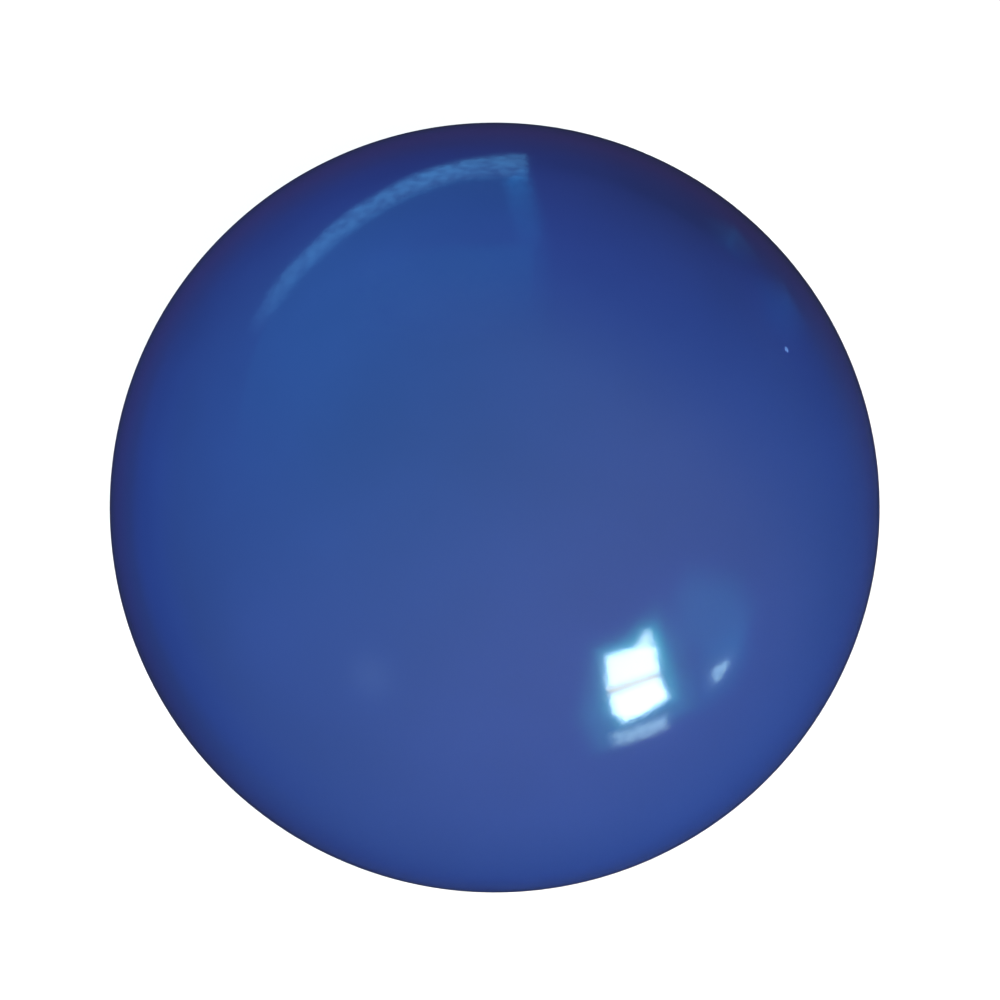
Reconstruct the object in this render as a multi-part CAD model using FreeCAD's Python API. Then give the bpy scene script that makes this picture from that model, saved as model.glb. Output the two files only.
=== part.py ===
"""Croquet ball, full size, as a cored ball. All lengths are in millimetres.

From the middle outwards it is a moulded composition core, a film of adhesive laid in each
half shell, and two hard plastic half shells whose stepped rims nest and are cemented
together. The outside is then turned and polished as one sphere, so that only a hairline
shows where the halves meet.

Frame: the origin is the ball's centre. +Z is up and is normal to the seam plane, and every
piece is a body of revolution about Z.
"""

import FreeCAD
import Part

import math
import os

# Driving dimensions
BALL_DIAMETER = 92.08       # 3 5/8 in, the full-size ball
SHELL_WALL = 8.0            # thickness of the plastic shell
FILM_THICKNESS = 0.25       # adhesive between the core and the shell
SEAM_GAP = 0.15             # cement between the two rims
STEP_HEIGHT = 3.0           # how far the upper rim's inner step stands into the lower rim
STEP_SHARE = 0.5            # where the step stands across the wall: 0 inside, 1 outside
EDGE_BREAK = 0.12           # small bevel on each outer rim edge, the hairline of the seam

# Worked out from them
BALL_RADIUS = BALL_DIAMETER / 2
BORE_RADIUS = BALL_RADIUS - SHELL_WALL
CORE_RADIUS = BORE_RADIUS - FILM_THICKNESS
STEP_RADIUS = BORE_RADIUS + STEP_SHARE * SHELL_WALL
HALF_GAP = SEAM_GAP / 2

PARTS_FOLDER = "parts"
ORIGIN = FreeCAD.Vector(0, 0, 0)
AXIS = FreeCAD.Vector(0, 0, 1)


def point(radius, height):
    """A point of a profile, which is drawn in the XZ plane."""
    return FreeCAD.Vector(radius, 0, height)


def radius_at(sphere_radius, height):
    """How far from the axis a sphere's surface is at a height."""
    return math.sqrt(sphere_radius ** 2 - height ** 2)


def line(start, end):
    return Part.LineSegment(start, end).toShape()


def sphere_arc(sphere_radius, start_height, end_height):
    """The arc of a sphere's outline, on the +X side, between two heights."""
    start_angle = math.asin(start_height / sphere_radius)
    end_angle = math.asin(end_height / sphere_radius)
    middle_height = sphere_radius * math.sin((start_angle + end_angle) / 2)
    ends = [
        point(radius_at(sphere_radius, height), height)
        for height in (start_height, middle_height, end_height)
    ]
    return Part.Arc(*ends).toShape()


def chain(*points):
    """Straight edges from each point to the next."""
    return [line(a, b) for a, b in zip(points, points[1:])]


def turned(edges):
    """The solid swept by a closed profile in one full turn about Z."""
    face = Part.Face(Part.Wire(edges))
    solid = Part.Solid(face.revolve(ORIGIN, AXIS, 360).Shells[0])
    if solid.Volume < 0:
        solid.reverse()
    return solid


# Heights and radii of the stepped seam, shared by the pieces that meet there
BEVEL_HEIGHT = HALF_GAP + EDGE_BREAK
LAND_RADIUS = radius_at(BALL_RADIUS, HALF_GAP) - EDGE_BREAK
SPIGOT_END = -STEP_HEIGHT + HALF_GAP
REBATE_FLOOR = -STEP_HEIGHT - HALF_GAP
SPIGOT_RADIUS = STEP_RADIUS - HALF_GAP
REBATE_RADIUS = STEP_RADIUS + HALF_GAP
REBATE_BORE = radius_at(BORE_RADIUS, REBATE_FLOOR)


def core():
    """The moulded ball of granulated cork and rubber in resin."""
    outline = sphere_arc(CORE_RADIUS, -CORE_RADIUS, CORE_RADIUS)
    axis_edge = line(point(0, CORE_RADIUS), point(0, -CORE_RADIUS))
    return turned([outline, axis_edge])


def upper_half_shell():
    """The half with the spigot: its inner step reaches below the seam plane."""
    edges = [sphere_arc(BALL_RADIUS, BALL_RADIUS, BEVEL_HEIGHT)]
    edges += chain(
        point(radius_at(BALL_RADIUS, BEVEL_HEIGHT), BEVEL_HEIGHT),
        point(LAND_RADIUS, HALF_GAP),
        point(SPIGOT_RADIUS, HALF_GAP),
        point(SPIGOT_RADIUS, SPIGOT_END),
        point(BORE_RADIUS, SPIGOT_END),
        point(BORE_RADIUS, 0),
    )
    edges.append(sphere_arc(BORE_RADIUS, 0, BORE_RADIUS))
    edges.append(line(point(0, BORE_RADIUS), point(0, BALL_RADIUS)))
    return turned(edges)


def lower_half_shell():
    """The half with the rebate that takes the upper half's spigot."""
    edges = [sphere_arc(BALL_RADIUS, -BALL_RADIUS, -BEVEL_HEIGHT)]
    edges += chain(
        point(radius_at(BALL_RADIUS, BEVEL_HEIGHT), -BEVEL_HEIGHT),
        point(LAND_RADIUS, -HALF_GAP),
        point(REBATE_RADIUS, -HALF_GAP),
        point(REBATE_RADIUS, REBATE_FLOOR),
        point(REBATE_BORE, REBATE_FLOOR),
    )
    edges.append(sphere_arc(BORE_RADIUS, REBATE_FLOOR, -BORE_RADIUS))
    edges.append(line(point(0, -BORE_RADIUS), point(0, -BALL_RADIUS)))
    return turned(edges)


def seam_cement_ring():
    """The cement that fills the stepped gap between the two rims."""
    corners = [
        point(LAND_RADIUS, HALF_GAP),
        point(SPIGOT_RADIUS, HALF_GAP),
        point(SPIGOT_RADIUS, SPIGOT_END),
        point(BORE_RADIUS, SPIGOT_END),
        point(REBATE_BORE, REBATE_FLOOR),
        point(REBATE_RADIUS, REBATE_FLOOR),
        point(REBATE_RADIUS, -HALF_GAP),
        point(LAND_RADIUS, -HALF_GAP),
    ]
    return turned(chain(*corners, corners[0]))


def upper_adhesive_film():
    """The adhesive in the upper half shell, down to the end of its spigot."""
    edges = [sphere_arc(BORE_RADIUS, BORE_RADIUS, 0)]
    edges += chain(
        point(BORE_RADIUS, 0),
        point(BORE_RADIUS, SPIGOT_END),
        point(radius_at(CORE_RADIUS, SPIGOT_END), SPIGOT_END),
    )
    edges.append(sphere_arc(CORE_RADIUS, SPIGOT_END, CORE_RADIUS))
    edges.append(line(point(0, CORE_RADIUS), point(0, BORE_RADIUS)))
    return turned(edges)


def lower_adhesive_film():
    """The adhesive in the lower half shell, up to the end of the spigot."""
    edges = [sphere_arc(BORE_RADIUS, -BORE_RADIUS, REBATE_FLOOR)]
    edges += chain(
        point(REBATE_BORE, REBATE_FLOOR),
        point(BORE_RADIUS, SPIGOT_END),
        point(radius_at(CORE_RADIUS, SPIGOT_END), SPIGOT_END),
    )
    edges.append(sphere_arc(CORE_RADIUS, SPIGOT_END, -CORE_RADIUS))
    edges.append(line(point(0, -CORE_RADIUS), point(0, -BORE_RADIUS)))
    return turned(edges)


PIECES = [
    core,
    upper_adhesive_film,
    lower_adhesive_film,
    upper_half_shell,
    lower_half_shell,
    seam_cement_ring,
]


def main():
    os.makedirs(PARTS_FOLDER, exist_ok=True)
    for piece in PIECES:
        solid = piece()
        if not solid.isValid() or not solid.isClosed():
            raise ValueError(f"{piece.__name__} is not a valid closed solid")
        solid.exportStep(os.path.join(PARTS_FOLDER, piece.__name__ + ".step"))
        print(f"{piece.__name__}: {solid.Volume:.1f} mm3")


main()
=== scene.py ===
"""Croquet ball: looks, stage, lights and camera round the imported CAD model. Lengths are metres.

The ball's centre is the origin and +Z is up. The two half shells, the seam cement and the core
are rebuilt as fine quad meshes on the CAD radii; the two adhesive films keep their CAD meshes.
"""

import math

import bmesh
import bpy
import numpy as np
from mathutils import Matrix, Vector, noise


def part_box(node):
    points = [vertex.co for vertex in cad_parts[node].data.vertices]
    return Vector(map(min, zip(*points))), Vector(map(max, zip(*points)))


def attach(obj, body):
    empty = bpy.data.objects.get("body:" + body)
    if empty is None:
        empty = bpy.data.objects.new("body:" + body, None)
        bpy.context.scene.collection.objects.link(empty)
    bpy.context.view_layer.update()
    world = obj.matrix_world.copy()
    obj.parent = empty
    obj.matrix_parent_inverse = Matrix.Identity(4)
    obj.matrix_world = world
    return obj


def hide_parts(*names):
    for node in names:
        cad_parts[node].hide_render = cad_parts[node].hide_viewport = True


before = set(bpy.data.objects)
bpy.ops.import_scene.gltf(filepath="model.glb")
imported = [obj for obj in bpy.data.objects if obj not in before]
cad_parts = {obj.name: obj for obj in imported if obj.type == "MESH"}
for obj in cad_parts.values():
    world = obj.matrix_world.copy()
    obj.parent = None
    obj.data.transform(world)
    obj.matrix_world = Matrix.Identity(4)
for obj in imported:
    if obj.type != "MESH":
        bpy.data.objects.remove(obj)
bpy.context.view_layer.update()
MM = 0.001


# ---------------------------------------------------------------- sizes, read from the CAD

def low(node):
    """The height of a CAD node's lowest point."""
    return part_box(node)[0].z


def high(node):
    """The height of a CAD node's highest point."""
    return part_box(node)[1].z


BALL_RADIUS = high("upper_half_shell")
CORE_RADIUS = high("core")
BORE_RADIUS = high("upper_adhesive_film")
HALF_GAP = high("seam_cement_ring")
SPIGOT_END = low("upper_half_shell")
REBATE_FLOOR = low("seam_cement_ring")
STEP_RADIUS = (BALL_RADIUS + BORE_RADIUS) / 2
EDGE_BREAK = 0.12 * MM      # the bevel of the CAD's rims, which no node's box gives
BEVEL_HEIGHT = HALF_GAP + EDGE_BREAK
LAND_RADIUS = math.sqrt(BALL_RADIUS ** 2 - HALF_GAP ** 2) - EDGE_BREAK
SPIGOT_RADIUS = STEP_RADIUS - HALF_GAP
REBATE_RADIUS = STEP_RADIUS + HALF_GAP
REBATE_BORE = math.sqrt(BORE_RADIUS ** 2 - REBATE_FLOOR ** 2)
FLOOR_HEIGHT = low("lower_half_shell")

# Details finer than the CAD
RIM_ROUNDING = 0.25 * MM        # radius of the corners of the shells' stepped rims
CEMENT_ROUNDING = 0.04 * MM
CEMENT_SINK = 0.04 * MM         # how far the cement lies below the bevels' feet
WAVE_MEAN = 0.0035 * MM         # how far the polished face lies inside the true sphere
WAVE_BROAD = 0.0025 * MM        # depth and length of its broad waves, then of its fine ones
WAVE_BROAD_LENGTH = 9 * MM
WAVE_FINE = 0.0008 * MM
WAVE_FINE_LENGTH = 3.5 * MM
GRANULE_MM = 2.6                # width of a granule of the core
GRANULE_SINK = 0.12 * MM        # depth of the lines between granules
GRANULE_LINE = 0.4              # width of those lines, in granules


# ---------------------------------------------------------------- meshes

DOME_STEPS = 80
CORE_STEPS = 88
ARC_POINTS = 4          # points of a rounded corner
MOST_OF_EDGE = 0.4      # the largest share of an edge that one rounded corner takes
TINY = 1e-6


def quad_sphere(steps):
    """A unit sphere of even quads, from a cube whose edges are cut into steps."""
    bm = bmesh.new()
    bmesh.ops.create_cube(bm, size=2)
    bmesh.ops.subdivide_edges(bm, edges=bm.edges[:], cuts=steps - 1, use_grid_fill=True)
    for vert in bm.verts:
        vert.co = Vector([math.tan(part * math.pi / 4) for part in vert.co]).normalized()
    return bm


class Dome:
    """The upper half of the quad sphere, as azimuths, polar angles and faces."""

    def __init__(self, steps):
        bm = quad_sphere(steps)
        below = [vert for vert in bm.verts if vert.co.z < -TINY]
        bmesh.ops.delete(bm, geom=below, context="VERTS")
        bm.verts.index_update()
        points = np.array([vert.co for vert in bm.verts])
        self.azimuth = np.arctan2(points[:, 1], points[:, 0])
        self.polar = np.arccos(np.clip(points[:, 2], -1, 1))
        self.faces = [[vert.index for vert in face.verts] for face in bm.faces]
        rim = [vert.index for vert in bm.verts if vert.is_boundary]
        self.rim = sorted(rim, key=lambda index: self.azimuth[index])
        bm.free()

    def points(self, radius, edge_height):
        """The dome at a radius, with its rim moved to a height above or below the middle."""
        polar = self.polar * math.acos(edge_height / radius) / (math.pi / 2)
        sine = np.sin(polar)
        return radius * np.stack(
            [sine * np.cos(self.azimuth), sine * np.sin(self.azimuth), np.cos(polar)], axis=1
        )


DOME = Dome(DOME_STEPS)
RING_AZIMUTHS = DOME.azimuth[DOME.rim]


def ring(radius, height):
    """Points round Z, one for each point of the dome's rim."""
    return np.stack(
        [
            radius * np.cos(RING_AZIMUTHS),
            radius * np.sin(RING_AZIMUTHS),
            np.full(len(RING_AZIMUTHS), height),
        ],
        axis=1,
    )


def rounded(profile, radius, closed=False):
    """The profile with each corner replaced by a short curve."""
    points = [Vector(point) for point in profile]
    count = len(points)
    out = []
    for index, corner in enumerate(points):
        if not closed and index in (0, count - 1):
            out.append(corner)
            continue
        before = points[index - 1] - corner
        after = points[(index + 1) % count] - corner
        reach = min(radius, MOST_OF_EDGE * before.length, MOST_OF_EDGE * after.length)
        start = corner + before.normalized() * reach
        end = corner + after.normalized() * reach
        for step in range(ARC_POINTS):
            share = step / (ARC_POINTS - 1)
            first = start.lerp(corner, share)
            out.append(first.lerp(corner.lerp(end, share), share))
    return [tuple(point) for point in out]


def strip_faces(first, second):
    """Quads between two closed rings of vertex numbers."""
    count = len(first)
    return [
        [first[i], first[(i + 1) % count], second[(i + 1) % count], second[i]]
        for i in range(count)
    ]


def placed(name, data):
    """A new object of a mesh, light or camera, linked into the scene."""
    made = bpy.data.objects.new(name, data)
    bpy.context.scene.collection.objects.link(made)
    return made


def new_piece(name, points, faces, sharp_angle=30):
    """An object of these faces, with its normals outwards and smooth between sharp edges."""
    mesh = bpy.data.meshes.new(name)
    mesh.from_pydata([tuple(point) for point in points], [], faces)
    bm = bmesh.new()
    bm.from_mesh(mesh)
    bmesh.ops.recalc_face_normals(bm, faces=bm.faces[:])
    bm.to_mesh(mesh)
    bm.free()
    mesh.shade_smooth()
    mesh.set_sharp_from_angle(angle=math.radians(sharp_angle))
    return placed(name, mesh)


def waviness(point):
    """How far the polished surface lies inside the true sphere at a point."""
    broad = noise.noise(Vector(point) / WAVE_BROAD_LENGTH)
    other_place = Vector((7, 3, 5))
    fine = noise.noise(Vector(point) / WAVE_FINE_LENGTH + other_place)
    return WAVE_MEAN + WAVE_BROAD * broad + WAVE_FINE * fine


def half_shell(name, side, seam, bore_edge):
    """A half shell: outer dome, stepped rim and bore. seam lists the rim's corners from the
    outside in as (radius, height); for the lower half, side is -1 and heights are mirrored."""
    to_side = (1, 1, side)
    outer = DOME.points(BALL_RADIUS, BEVEL_HEIGHT)
    sunk = np.array([waviness(point * to_side) for point in outer])
    outer *= (1 - sunk / BALL_RADIUS)[:, None]
    inner = DOME.points(BORE_RADIUS, bore_edge)
    profile = rounded(
        [(math.sqrt(BALL_RADIUS ** 2 - BEVEL_HEIGHT ** 2), BEVEL_HEIGHT)]
        + seam
        + [(math.sqrt(BORE_RADIUS ** 2 - bore_edge ** 2), bore_edge)],
        RIM_ROUNDING,
    )
    points = [outer, inner]
    faces = [list(face) for face in DOME.faces]
    faces += [[index + len(outer) for index in face] for face in DOME.faces]
    last = list(DOME.rim)
    start = len(outer) + len(inner)
    for radius, height in profile[1:-1]:
        points.append(ring(radius, height))
        this = list(range(start, start + len(DOME.rim)))
        faces += strip_faces(last, this)
        last = this
        start += len(DOME.rim)
    faces += strip_faces(last, [index + len(outer) for index in DOME.rim])
    return new_piece(name, np.concatenate(points) * to_side, faces)


def seam_cement():
    """The cement in the stepped gap, its outer face sunk a little between the bevels."""
    outline = rounded(
        [
            (LAND_RADIUS, HALF_GAP),
            (SPIGOT_RADIUS, HALF_GAP),
            (SPIGOT_RADIUS, SPIGOT_END),
            (BORE_RADIUS, SPIGOT_END),
            (REBATE_BORE, REBATE_FLOOR),
            (REBATE_RADIUS, REBATE_FLOOR),
            (REBATE_RADIUS, -HALF_GAP),
            (LAND_RADIUS, -HALF_GAP),
            (LAND_RADIUS - CEMENT_SINK, 0),
        ],
        CEMENT_ROUNDING,
        closed=True,
    )
    count = len(RING_AZIMUTHS)
    points = np.concatenate([ring(radius, height) for radius, height in outline])
    rings = [list(range(k * count, (k + 1) * count)) for k in range(len(outline))]
    faces = []
    for this, following in zip(rings, rings[1:] + rings[:1]):
        faces += strip_faces(this, following)
    return new_piece("seam_cement", points, faces)


def granule_depth(direction):
    """How near a direction is to the line between two granules, from 0 to 1 on the line."""
    nearest, second = noise.voronoi(direction * CORE_RADIUS / (GRANULE_MM * MM))[0][:2]
    return 1 - min(1, (second - nearest) / GRANULE_LINE)


def granular_core():
    """The moulded core: granules pressed flat against the mould, with sunk lines between."""
    bm = quad_sphere(CORE_STEPS)
    for vert in bm.verts:
        sunk = GRANULE_SINK * granule_depth(vert.co)
        vert.co = vert.co * (CORE_RADIUS - sunk)
    bm.verts.index_update()
    points = [vert.co.copy() for vert in bm.verts]
    faces = [[vert.index for vert in face.verts] for face in bm.faces]
    bm.free()
    return new_piece("granular_core", points, faces, sharp_angle=60)


# ---------------------------------------------------------------- materials

class Shader:
    """A node tree being built, with short calls for the nodes it uses."""

    def __init__(self, tree):
        self.tree = tree
        tree.nodes.clear()

    def node(self, kind, inputs=None, **settings):
        """A new node with its settings, and its inputs by name, each a value or a socket."""
        made = self.tree.nodes.new(kind)
        for name, value in settings.items():
            setattr(made, name, value)
        for name, value in (inputs or {}).items():
            self.feed(made.inputs[name], value)
        return made

    def feed(self, socket, value):
        if isinstance(value, bpy.types.NodeSocket):
            self.tree.links.new(value, socket)
        else:
            socket.default_value = value

    def math(self, operation, first, second):
        made = self.node("ShaderNodeMath", operation=operation)
        self.feed(made.inputs[0], first)
        self.feed(made.inputs[1], second)
        return made.outputs[0]

    def dot(self, vector, direction):
        made = self.node("ShaderNodeVectorMath", operation="DOT_PRODUCT")
        self.feed(made.inputs[0], vector)
        made.inputs[1].default_value = direction
        return made.outputs["Value"]

    def smooth(self, value, start, end, low=0.0, high=1.0, linear=False):
        """low to high, smoothly or in proportion, as value goes from start to end."""
        kind = "LINEAR" if linear else "SMOOTHSTEP"
        made = self.node("ShaderNodeMapRange", interpolation_type=kind)
        self.feed(made.inputs["Value"], value)
        for name, number in (
            ("From Min", start), ("From Max", end), ("To Min", low), ("To Max", high)
        ):
            made.inputs[name].default_value = number
        return made.outputs["Result"]

    def mix(self, factor, first, second):
        """A blend of two colours, which are sockets 6 and 7 of a Mix node."""
        made = self.node("ShaderNodeMix", data_type="RGBA")
        self.feed(made.inputs[0], factor)
        self.feed(made.inputs[6], first)
        self.feed(made.inputs[7], second)
        return made.outputs[2]

    def noise(self, where, scale, detail=2.0, roughness=0.5):
        return self.node(
            "ShaderNodeTexNoise",
            {"Vector": where, "Scale": scale, "Detail": detail, "Roughness": roughness},
        ).outputs["Fac"]

    def bump(self, height, distance):
        inputs = {"Height": height, "Distance": distance, "Strength": 1.0}
        return self.node("ShaderNodeBump", inputs).outputs["Normal"]

    def sum(self, first, second):
        """Both of two closures at once, their light added."""
        made = self.node("ShaderNodeAddShader")
        self.feed(made.inputs[0], first.outputs[0])
        self.feed(made.inputs[1], second.outputs[0])
        return made

    def show(self, closure, kind="ShaderNodeOutputMaterial"):
        """Makes a closure the surface of the material, or of the world."""
        self.feed(self.node(kind).inputs["Surface"], closure.outputs[0])


def rgb(red, green, blue):
    """An opaque colour, in linear light."""
    return (red, green, blue, 1.0)


def blank_material(name):
    """A material with no nodes yet, and its shader."""
    material = bpy.data.materials.new(name)
    material.use_nodes = True
    return material, Shader(material.node_tree)


def new_material(name):
    """A material, its shader, its Principled node and its object coordinates in mm, so that
    the scale of a noise is per millimetre."""
    material, shader = blank_material(name)
    principled = shader.node("ShaderNodeBsdfPrincipled")
    shader.show(principled)
    place = shader.node("ShaderNodeTexCoord").outputs["Object"]
    in_mm = shader.node("ShaderNodeVectorMath", {"Scale": 1 / MM}, operation="SCALE")
    shader.feed(in_mm.inputs[0], place)
    return material, shader, principled, in_mm.outputs[0]


FLECK_MM = (32.32, 17.50, 27.73)    # place of a small pale spot in the base colour


def blue_plastic():
    """Polished royal-blue plastic: faint pigment clouds, orange peel and hairline rub marks."""
    material, shader, principled, place = new_material("blue_gloss_plastic")
    clouds = shader.smooth(shader.noise(place, 0.11, detail=3.0), 0.3, 0.7)
    pigment = shader.mix(clouds, rgb(0.0290, 0.0660, 0.2420), rgb(0.0310, 0.0695, 0.2550))
    grain = shader.smooth(shader.noise(place, 2.2), 0.62, 0.80, 0.0, 0.25)
    colour = shader.mix(grain, pigment, rgb(0.040, 0.086, 0.300))
    # a small pale spot lightens the base colour at FLECK_MM
    fleck = shader.node("ShaderNodeVectorMath", operation="DISTANCE")
    shader.feed(fleck.inputs[0], place)
    fleck.inputs[1].default_value = FLECK_MM
    spot = shader.smooth(fleck.outputs["Value"], 0.22, 0.42, 1.0, 0.0)
    shader.feed(principled.inputs["Base Color"], shader.mix(spot, colour, rgb(0.21, 0.37, 0.78)))
    dullness = shader.noise(place, 0.07, detail=4.0, roughness=0.6)
    haze = shader.smooth(dullness, 0.35, 0.7, 0.075, 0.09)
    drawn = shader.node(
        "ShaderNodeMapping",
        {"Vector": place, "Rotation": (0.4, 0.9, 0.7), "Scale": (0.15, 3.2, 0.5)},
    )
    hairlines = shader.noise(drawn.outputs[0], 1.0, detail=5.0)
    marks = shader.smooth(hairlines, 0.60, 0.72, 0.0, 0.02)
    shader.feed(principled.inputs["Roughness"], shader.math("ADD", haze, marks))
    peel = shader.noise(place, 1.5, roughness=0.55)
    shader.feed(principled.inputs["Normal"], shader.bump(peel, 0.004 * MM))
    principled.inputs["IOR"].default_value = 1.5
    return material


def cement():
    """Solvent-softened blue plastic that has dried slightly duller and darker."""
    material, shader, principled, place = new_material("seam_cement")
    ripples = shader.noise(place, 0.9, detail=4.0)
    colour = shader.mix(ripples, rgb(0.010, 0.022, 0.085), rgb(0.022, 0.050, 0.170))
    shader.feed(principled.inputs["Base Color"], colour)
    shader.feed(principled.inputs["Roughness"], shader.smooth(ripples, 0.3, 0.7, 0.28, 0.42))
    shader.feed(principled.inputs["Normal"], shader.bump(ripples, 0.02 * MM))
    return material


def composition():
    """Cork and rubber granules pressed in brown resin."""
    material, shader, principled, place = new_material("cork_and_rubber")
    cells = shader.node("ShaderNodeTexVoronoi", {"Vector": place, "Scale": 1 / GRANULE_MM})
    pick = shader.node("ShaderNodeSeparateColor", {"Color": cells.outputs["Color"]}).outputs[0]
    cork = shader.mix(
        shader.noise(place, 3.0, detail=4.0), rgb(0.150, 0.072, 0.026), rgb(0.420, 0.235, 0.100)
    )
    rubber = shader.mix(
        shader.noise(place, 4.0, detail=3.0), rgb(0.010, 0.010, 0.011), rgb(0.040, 0.038, 0.036)
    )
    granules = shader.mix(shader.smooth(pick, 0.56, 0.60), cork, rubber)
    edges = shader.node(
        "ShaderNodeTexVoronoi",
        {"Vector": place, "Scale": 1 / GRANULE_MM},
        feature="DISTANCE_TO_EDGE",
    )
    resin = shader.smooth(edges.outputs["Distance"], 0.02, 0.10, 1.0, 0.0)
    colour = shader.mix(resin, granules, rgb(0.085, 0.040, 0.014))
    shader.feed(principled.inputs["Base Color"], colour)
    shader.feed(principled.inputs["Roughness"], shader.smooth(resin, 0.0, 1.0, 0.85, 0.45))
    pores = shader.noise(place, 5.0, detail=4.0, roughness=0.6)
    shader.feed(principled.inputs["Normal"], shader.bump(pores, 0.10 * MM))
    return material


def adhesive():
    """Dried amber contact adhesive with brush streaks and small bubbles."""
    material, shader, principled, place = new_material("amber_adhesive")
    drawn = shader.node("ShaderNodeMapping", {"Vector": place, "Scale": (0.25, 0.25, 1.6)})
    streaks = shader.noise(drawn.outputs[0], 1.0, detail=4.0, roughness=0.6)
    colour = shader.mix(streaks, rgb(0.420, 0.270, 0.090), rgb(0.700, 0.520, 0.250))
    cells = shader.node("ShaderNodeTexVoronoi", {"Vector": place, "Scale": 0.8})
    bubble = shader.smooth(cells.outputs["Distance"], 0.05, 0.16, 1.0, 0.0)
    bubbled = shader.mix(bubble, colour, rgb(0.80, 0.66, 0.40))
    shader.feed(principled.inputs["Base Color"], bubbled)
    shader.feed(principled.inputs["Roughness"], shader.smooth(streaks, 0.3, 0.7, 0.32, 0.55))
    height = shader.math("SUBTRACT", streaks, shader.math("MULTIPLY", bubble, 0.5))
    shader.feed(principled.inputs["Normal"], shader.bump(height, 0.05 * MM))
    principled.inputs["Subsurface Weight"].default_value = 0.15
    principled.inputs["Subsurface Radius"].default_value = (0.8 * MM, 0.5 * MM, 0.2 * MM)
    return material


# ---------------------------------------------------------------- the ball

SHELL_MATERIAL = blue_plastic()

upper_shell = half_shell(
    "upper_shell",
    side=1,
    seam=[
        (LAND_RADIUS, HALF_GAP),
        (SPIGOT_RADIUS, HALF_GAP),
        (SPIGOT_RADIUS, SPIGOT_END),
        (BORE_RADIUS, SPIGOT_END),
    ],
    bore_edge=0.0,
)
lower_shell = half_shell(
    "lower_shell",
    side=-1,
    seam=[
        (LAND_RADIUS, HALF_GAP),
        (REBATE_RADIUS, HALF_GAP),
        (REBATE_RADIUS, -REBATE_FLOOR),
    ],
    bore_edge=-REBATE_FLOOR,
)

for piece, node, slot, material in (
    (upper_shell, "upper_half_shell", "blue_plastic", SHELL_MATERIAL),
    (lower_shell, "lower_half_shell", "blue_plastic", SHELL_MATERIAL),
    (seam_cement(), "seam_cement_ring", "cement", cement()),
    (granular_core(), "core", "composition", composition()),
):
    piece.data.materials.append(material)
    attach(piece, "root")
    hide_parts(node)

GLUE = adhesive()
for node in ("upper_adhesive_film", "lower_adhesive_film"):
    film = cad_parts[node]
    film.data.materials.clear()
    film.data.materials.append(GLUE)


# ---------------------------------------------------------------- stage and light

FLOOR_HALF_SIZE = 40.0
CARD_DISTANCE = 3.0                     # from the ball's centre
SOFT_EDGE = [(-0.8, 1.0), (0.8, 0.0)]   # a card's brightness across its edge, as card tells
MITRE_LIMIT = 0.5                       # keeps a card's sharp corners from running far out
SPECKLE_SCALE = (15.0, 15.0, 8.0)       # flecks per metre in a speckled card, longer upright
OUTLINE_ANGLE = 7.893                   # degrees from the lens's axis to the ball's outline


def sky_direction(azimuth, elevation):
    """A unit vector from degrees round Z from +X and degrees above level."""
    around = math.radians(azimuth)
    up = math.radians(elevation)
    level = math.cos(up)
    return Vector((level * math.cos(around), level * math.sin(around), math.sin(up)))


def soft_world():
    """A soft dome of light: bright overhead, dark below, cooler at one side and shaded at
    another. The camera itself sees a white just past full, so that no noise shows in it."""
    world = bpy.data.worlds.new("studio")
    world.use_nodes = True
    shader = Shader(world.node_tree)
    direction = shader.node("ShaderNodeTexCoord").outputs["Generated"]

    def towards(azimuth, elevation=0.0):
        return shader.dot(direction, sky_direction(azimuth, elevation))

    dome = shader.mix(
        shader.smooth(towards(134), -1.0, 1.0, linear=True),
        rgb(0.92, 0.60, 0.13),
        rgb(0.30, 1.03, 1.82),
    )
    shade = shader.smooth(towards(58, -24), 0.27, 1.0)
    dome = shader.mix(shade, dome, rgb(0.0, 0.0, 0.0))
    ground = shader.mix(
        shader.smooth(towards(103), -1.0, 1.0, linear=True),
        rgb(0.001, 0.021, 0.180),
        rgb(0.098, 0.031, 0.001),
    )
    straight_down = shader.smooth(towards(0, -90), 0.81, 1.0)
    ground = shader.mix(straight_down, ground, rgb(0.025, 0.025, 0.028))
    light = shader.mix(shader.smooth(towards(-125, 83), -0.90, 1.20), ground, dome)
    to_camera = shader.node("ShaderNodeLightPath").outputs["Is Camera Ray"]
    seen = shader.mix(to_camera, light, rgb(1.05, 1.05, 1.05))
    background = shader.node("ShaderNodeBackground", {"Color": seen, "Strength": 1.0})
    shader.show(background, "ShaderNodeOutputWorld")
    bpy.context.scene.world = world


def pale_floor():
    """A plain white floor under the ball. The ball neither mirrors it nor takes light from it.
    Its warm colour offsets the bluish light, and its own glow lifts it to white."""
    mesh = bpy.data.meshes.new("floor")
    corners = [
        (x * FLOOR_HALF_SIZE, y * FLOOR_HALF_SIZE, FLOOR_HEIGHT)
        for x, y in ((-1, -1), (1, -1), (1, 1), (-1, 1))
    ]
    mesh.from_pydata(corners, [], [[0, 1, 2, 3]])
    material, shader = blank_material("pale_floor")
    diffuse = shader.node("ShaderNodeBsdfDiffuse", {"Color": rgb(0.95, 0.74, 0.58)})
    glow = shader.node("ShaderNodeEmission", {"Color": rgb(1, 1, 1), "Strength": 0.69})
    shader.show(shader.sum(diffuse, glow))
    mesh.materials.append(material)
    floor = placed("floor", mesh)
    floor.visible_diffuse = False
    floor.visible_glossy = False
    floor.visible_shadow = False


def floor_bounce():
    """The light that a pale floor would throw up at the underside, from straight below."""
    data = bpy.data.lights.new("floor_bounce", "SUN")
    data.energy = 1.1
    data.angle = math.radians(14)
    light = placed("floor_bounce", data)
    light.rotation_euler = (math.pi, 0, 0)
    light.visible_glossy = False


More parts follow.
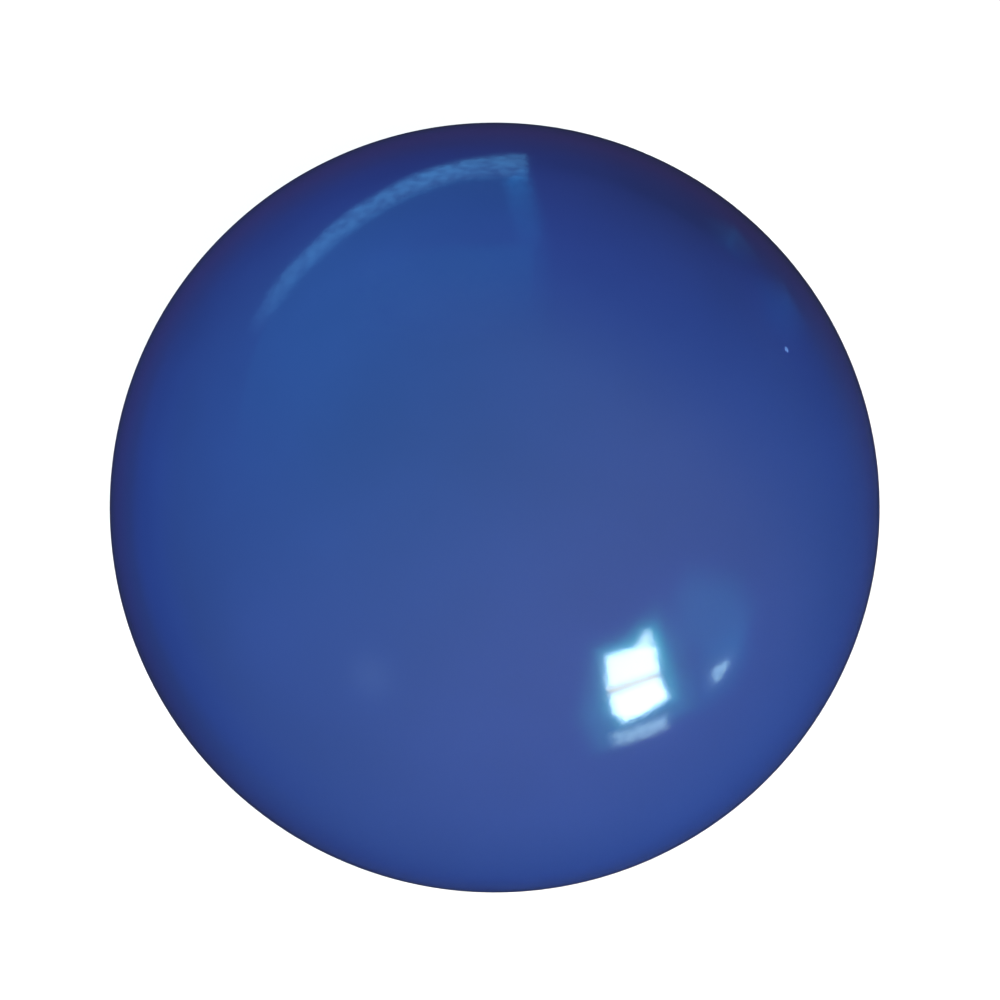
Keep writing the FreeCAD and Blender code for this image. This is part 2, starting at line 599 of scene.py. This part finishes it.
def shifted(outline, distance):
    """A clockwise outline of (x, y) points with each edge moved out by a distance."""
    normals = []
    for here, after in zip(outline, outline[1:] + outline[:1]):
        run = (after - here).normalized()
        normals.append(Vector((-run.y, run.x)))
    moved = []
    for here, before, after in zip(outline, normals[-1:] + normals[:-1], normals):
        mitre = max(MITRE_LIMIT, 1 + before.dot(after))
        moved.append(here + (before + after) * distance / mitre)
    return moved


def card(name, corners, colour, edge=SOFT_EDGE, lights_the_ball=False, grain=0.0):
    """A glowing flat shape that the ball mirrors. Corners are (azimuth, elevation) in degrees,
    anticlockwise as the ball sees them. edge lists (degrees outside the corners, share of the
    full brightness) from the inside out."""
    directions = [sky_direction(*corner) for corner in corners]
    centre = sum(directions, Vector()).normalized()
    level = Vector((-centre.y, centre.x, 0)).normalized()
    up = centre.cross(level)
    outline = [Vector((d.dot(level), d.dot(up))) / d.dot(centre) for d in directions]
    points = []
    shares = []
    for offset, share in edge:
        for x, y in shifted(outline, math.radians(offset)):
            points.append((centre + level * x + up * y) * CARD_DISTANCE)
            shares.append(share)
    count = len(corners)
    rings = [list(range(k * count, (k + 1) * count)) for k in range(len(edge))]
    faces = [rings[0]]
    for inner, outer in zip(rings, rings[1:]):
        faces += strip_faces(inner, outer)
    add_card(name, points, faces, shares, colour, lights_the_ball, grain)


def strip_card(name, first, second, shares, across, colour, grain=0.0):
    """A glowing strip between two lines of (azimuth, elevation) points, with a share of the
    full brightness at each pair. across lists (place from first to second, share)."""
    points = []
    strengths = []
    for place, cross_share in across:
        for start, end, share in zip(first, second, shares):
            direction = sky_direction(*start).lerp(sky_direction(*end), place)
            points.append(direction.normalized() * CARD_DISTANCE)
            strengths.append(share * cross_share)
    count = len(first)
    faces = []
    for row in range(len(across) - 1):
        for k in range(row * count, (row + 1) * count - 1):
            faces.append([k, k + 1, count + k + 1, count + k])
    add_card(name, points, faces, strengths, colour, False, grain)


def add_card(name, points, faces, shares, colour, lights_the_ball, grain):
    """The glowing mesh of a card, whose light is added to whatever is behind it. Each point has
    its share of the brightness, and grain is how far speckle lifts and lowers that. Only a
    card that lights the ball adds to its diffuse colour, and the camera sees none of them."""
    mesh = bpy.data.meshes.new(name)
    mesh.from_pydata(points, [], faces)
    attribute = mesh.attributes.new("share", "FLOAT", "POINT")
    attribute.data.foreach_set("value", shares)
    material, shader = blank_material(name)
    strength = shader.node("ShaderNodeAttribute", attribute_name="share").outputs["Fac"]
    if grain:
        place = shader.node("ShaderNodeTexCoord").outputs["Object"]
        fine = shader.node("ShaderNodeMapping", {"Vector": place, "Scale": SPECKLE_SCALE})
        flecks = shader.noise(fine.outputs[0], 1.0)
        speckle = shader.smooth(flecks, 0.3, 0.7, 1 - grain, 1 + grain)
        strength = shader.math("MULTIPLY", strength, speckle)
    glow = shader.node("ShaderNodeEmission", {"Color": rgb(*colour), "Strength": strength})
    shader.show(shader.sum(glow, shader.node("ShaderNodeBsdfTransparent")))
    mesh.materials.append(material)
    piece = placed(name, mesh)
    piece.visible_camera = False
    piece.visible_diffuse = lights_the_ball
    piece.visible_shadow = False


def window_light():
    """Two panes of daylight low on one side, the glow round them, and the sill under them."""
    daylight = (22.0, 31.0, 39.6)
    card(
        "window_upper_pane",
        [
            (-53.2, 36.1), (-46.5, 32.9), (-43.9, 30.2), (-41.6, 26.6),
            (-45.0, 20.6), (-50.7, 24.2), (-57.9, 27.3),
        ],
        daylight,
        lights_the_ball=True,
    )
    card(
        "window_lower_pane",
        [
            (-58.5, 24.7), (-51.7, 22.2), (-46.1, 18.8), (-47.6, 11.6),
            (-53.6, 12.5), (-58.7, 14.1), (-59.8, 19.0),
        ],
        daylight,
        lights_the_ball=True,
    )
    card(
        "window_bar",
        [
            (-57.6, 26.8), (-50.8, 24.0), (-45.7, 20.5),
            (-46.4, 19.0), (-51.6, 22.4), (-58.0, 25.1),
        ],
        (17.0, 10.4, 1.8),
    )
    card(
        "window_top_corner",
        [
            (-45.8, 31.7), (-42.5, 32.6), (-40.1, 33.4),
            (-38.7, 32.3), (-40.2, 29.3), (-41.6, 26.2),
        ],
        (12.8, 17.0, 20.0),
    )
    card(
        "window_glow",
        [
            (-53.0, 37.0), (-45.2, 34.0), (-39.9, 34.3), (-37.8, 31.2),
            (-42.2, 22.4), (-47.3, 10.9), (-59.1, 14.5), (-60.2, 21.7),
        ],
        (0.1, 2.3, 1.9),
        edge=[(-0.5, 1.0), (0.6, 1.0), (1.8, 0.5), (3.5, 0.0)],
    )
    strip_card(
        "window_fringe",
        [
            (-53.4, 36.2), (-46.4, 33.0), (-42.5, 32.8), (-40.0, 34.0),
            (-38.2, 32.6), (-39.8, 29.0), (-41.4, 26.2), (-45.0, 19.4),
        ],
        [
            (-52.6, 38.8), (-45.2, 35.6), (-42.2, 35.2), (-39.4, 36.4),
            (-35.4, 32.8), (-37.2, 28.2), (-38.9, 25.2), (-42.8, 18.6),
        ],
        (0.4, 1.0, 0.6, 0.1, 0.5, 1.0, 1.0, 0.0),
        [(-0.2, 0.0), (0.1, 1.0), (0.45, 0.5), (1.0, 0.0)],
        (0.1, 3.6, 3.6),
    )
    card(
        "window_haze",
        [
            (-53.0, 35.5), (-45.2, 33.5), (-38.5, 32.0), (-41.8, 22.4),
            (-48.0, 7.5), (-62.5, 12.0), (-63.0, 21.5),
        ],
        (0.15, 1.48, 1.62),
        edge=[(-0.5, 1.0), (1.5, 1.0), (7.5, 0.0)],
    )
    card(
        "window_sill",
        [
            (-63.0, 12.2), (-61.3, 12.5), (-55.8, 10.0), (-50.4, 7.2),
            (-51.8, 2.4), (-56.8, 4.5), (-63.3, 7.8),
        ],
        (3.5, 5.4, 6.1),
        edge=[(-1.4, 1.0), (0.9, 0.0)],
        grain=0.35,
    )


def beside_the_window():
    """What the ball mirrors at the right of the window: a small hazy glint and a pale curtain."""
    card(
        "side_glint",
        [
            (-37.9, 3.9), (-37.0, 5.5), (-35.6, 5.4), (-33.5, 3.2),
            (-34.2, 2.0), (-36.7, 1.4), (-38.1, 2.0),
        ],
        (3.7, 6.4, 7.5),
        edge=[(-0.5, 1.0), (0.7, 0.10), (3.5, 0.0)],
        grain=0.4,
    )
    card(
        "glint_haze",
        [
            (-38.0, 2.0), (-37.0, 5.5), (-35.6, 5.4),
            (-33.5, 3.2), (-34.2, 2.0), (-36.7, 1.4),
        ],
        (0.0, 0.48, 0.88),
        edge=[(-0.5, 1.0), (3.0, 1.0), (8.5, 0.0)],
    )
    card(
        "side_curtain",
        [
            (-18.3, 29.4), (-16.8, 13.6), (-22.3, 4.0), (-30.0, 1.9),
            (-36.6, 11.8), (-36.5, 23.6), (-27.6, 31.3),
        ],
        (0.05, 0.72, 1.10),
        edge=[(-4.0, 1.0), (3.5, 0.0)],
    )


def pale_wall():
    """A wall behind the ball, which meets the table edge and ends at an upright corner. It
    fades overhead and to the left."""
    strip_card(
        "pale_wall",
        [
            (83.2, -22.5), (85.9, -21.8), (96.3, -21.1), (110.6, -15.3), (124.1, -10.0),
            (137.0, -5.4), (150.0, 1.1), (165.0, 8.0), (178.0, 13.4),
        ],
        [
            (8, 79), (14, 80), (60, 80), (90, 80), (120, 80),
            (137, 80), (150, 80), (165, 80), (178, 80),
        ],
        (0.0, 1.0, 1.0, 1.0, 0.97, 0.82, 0.53, 0.15, 0.0),
        [
            (-0.01, 0.0), (0.015, 1.0), (0.25, 1.0),
            (0.38, 0.78), (0.47, 0.45), (0.55, 0.16), (0.69, 0.0),
        ],
        (0.0, 0.27, 0.52),
    )


def wall_panel():
    """A slightly paler stretch of the wall, above a level line."""
    strip_card(
        "wall_panel",
        [(118.7, 2.8), (106.1, 7.6), (93.1, 9.9), (81.8, 8.4)],
        [(128.8, 26.8), (113.3, 35.6), (94.7, 40.2), (78.5, 39.0)],
        (0.0, 0.4, 1.0, 0.9),
        [(-0.06, 0.0), (0.08, 1.0), (0.35, 1.0), (1.0, 0.0)],
        (0.0, 0.24, 0.44),
    )


def blue_haze():
    """The blue of the far side of the room, all along behind the ball."""
    azimuths = (-5, 20, 45, 65, 80, 105, 130, 150, 180, 210, 240)
    strip_card(
        "blue_haze",
        [(azimuth, -32) for azimuth in azimuths],
        [(azimuth, 72) for azimuth in azimuths],
        (0.0, 0.45, 0.62, 0.85, 0.95, 0.83, 0.65, 0.57, 0.55, 0.45, 0.0),
        [(0.0, 0.0), (0.23, 0.48), (0.40, 1.0), (0.53, 1.0), (0.68, 0.5), (1.0, 0.0)],
        (0.20, 0.29, 1.50),
    )


def low_haze():
    """The bluish things low down at the left and the right of the room."""
    azimuths = (-8, 10, 26, 42, 54, 64, 85, 120, 150, 175, 200, 220, 245)
    strip_card(
        "low_haze",
        [(azimuth, -44) for azimuth in azimuths],
        [(azimuth, -14) for azimuth in azimuths],
        (0.0, 0.3, 0.45, 0.4, 0.0, 0.0, 0.2, 0.4, 0.2, 0.6, 0.8, 0.6, 0.0),
        [(0.0, 0.0), (0.35, 1.0), (0.65, 1.0), (1.0, 0.0)],
        (0.0, 0.03, 0.48),
    )


def small_patches():
    """A faint pale patch at the left of the window, and two small bluish things low down at the
    right of the room."""
    card(
        "faint_patch",
        [
            (-131.0, 29.0), (-128.5, 33.5), (-124.0, 33.0),
            (-121.0, 29.0), (-123.5, 24.0), (-129.0, 24.0),
        ],
        (0.25, 0.45, 0.75),
        edge=[(-3.5, 1.0), (4.0, 0.0)],
    )
    card(
        "right_patch",
        [(34.0, -21.2), (39.1, -30.1), (36.4, -42.7), (32.9, -40.1), (30.6, -26.8)],
        (0.0, 0.10, 0.32),
        edge=[(-2.0, 1.0), (3.0, 0.0)],
    )
    card(
        "upper_right_patch",
        [(46.3, -32.2), (49.5, -31.4), (51.7, -39.0), (49.6, -48.5), (45.8, -41.7)],
        (0.0, 0.08, 0.20),
        edge=[(-2.0, 1.0), (2.5, 0.0)],
    )


def table_edge():
    """The pale edge of a low surface behind the ball, and the upright strip where it ends."""
    strip_card(
        "back_edge",
        [
            (144.6, -7.3), (137.5, -11.2), (125.0, -15.7),
            (111.2, -23.5), (97.8, -30.9), (85.0, -36.3),
        ],
        [
            (145.1, -1.6), (137.0, -4.2), (124.1, -8.2),
            (110.6, -14.0), (96.3, -20.6), (84.3, -22.0),
        ],
        (0.0, 0.66, 1.04, 0.98, 0.98, 0.70),
        [(-0.14, 0.0), (0.15, 1.0), (0.75, 1.0), (1.15, 0.0)],
        (0.26, 1.12, 2.10),
        grain=0.5,
    )
    strip_card(
        "side_edge",
        [
            (84.6, -29.0), (84.2, -24.5), (83.0, -15.0),
            (81.5, -4.0), (80.2, 4.2), (79.3, 12.0),
        ],
        [
            (87.2, -22.0), (88.4, -19.5), (87.4, -12.0),
            (86.7, -3.5), (85.4, 4.5), (84.0, 12.0),
        ],
        (0.20, 0.50, 0.38, 0.22, 0.20, 0.0),
        [(-0.15, 0.0), (0.35, 1.0), (0.8, 1.0), (1.2, 0.0)],
        (0.05, 0.95, 2.30),
        grain=0.3,
    )


def overhead_camera():
    """A long lens straight above the ball, with +X to the right and +Y up the picture."""
    data = bpy.data.cameras.new("camera")
    data.lens = 100
    data.sensor_width = 36
    data.shift_x = 0.0053
    data.shift_y = 0.00756
    data.clip_start = 0.01
    data.clip_end = 200
    camera = placed("camera", data)
    camera.location = (0, 0, BALL_RADIUS / math.sin(math.radians(OUTLINE_ANGLE)))
    bpy.context.scene.camera = camera


def picture_settings():
    """Plain colours, so that the white stage stays white. The denoiser works from the picture
    alone: guided by the surface's colour and normals, it leaves a ring near the rim."""
    bpy.context.scene.view_settings.view_transform = "Standard"
    bpy.context.scene.cycles.denoising_input_passes = "RGB"


soft_world()
pale_floor()
floor_bounce()
window_light()
beside_the_window()
pale_wall()
wall_panel()
blue_haze()
low_haze()
small_patches()
table_edge()
overhead_camera()
picture_settings()
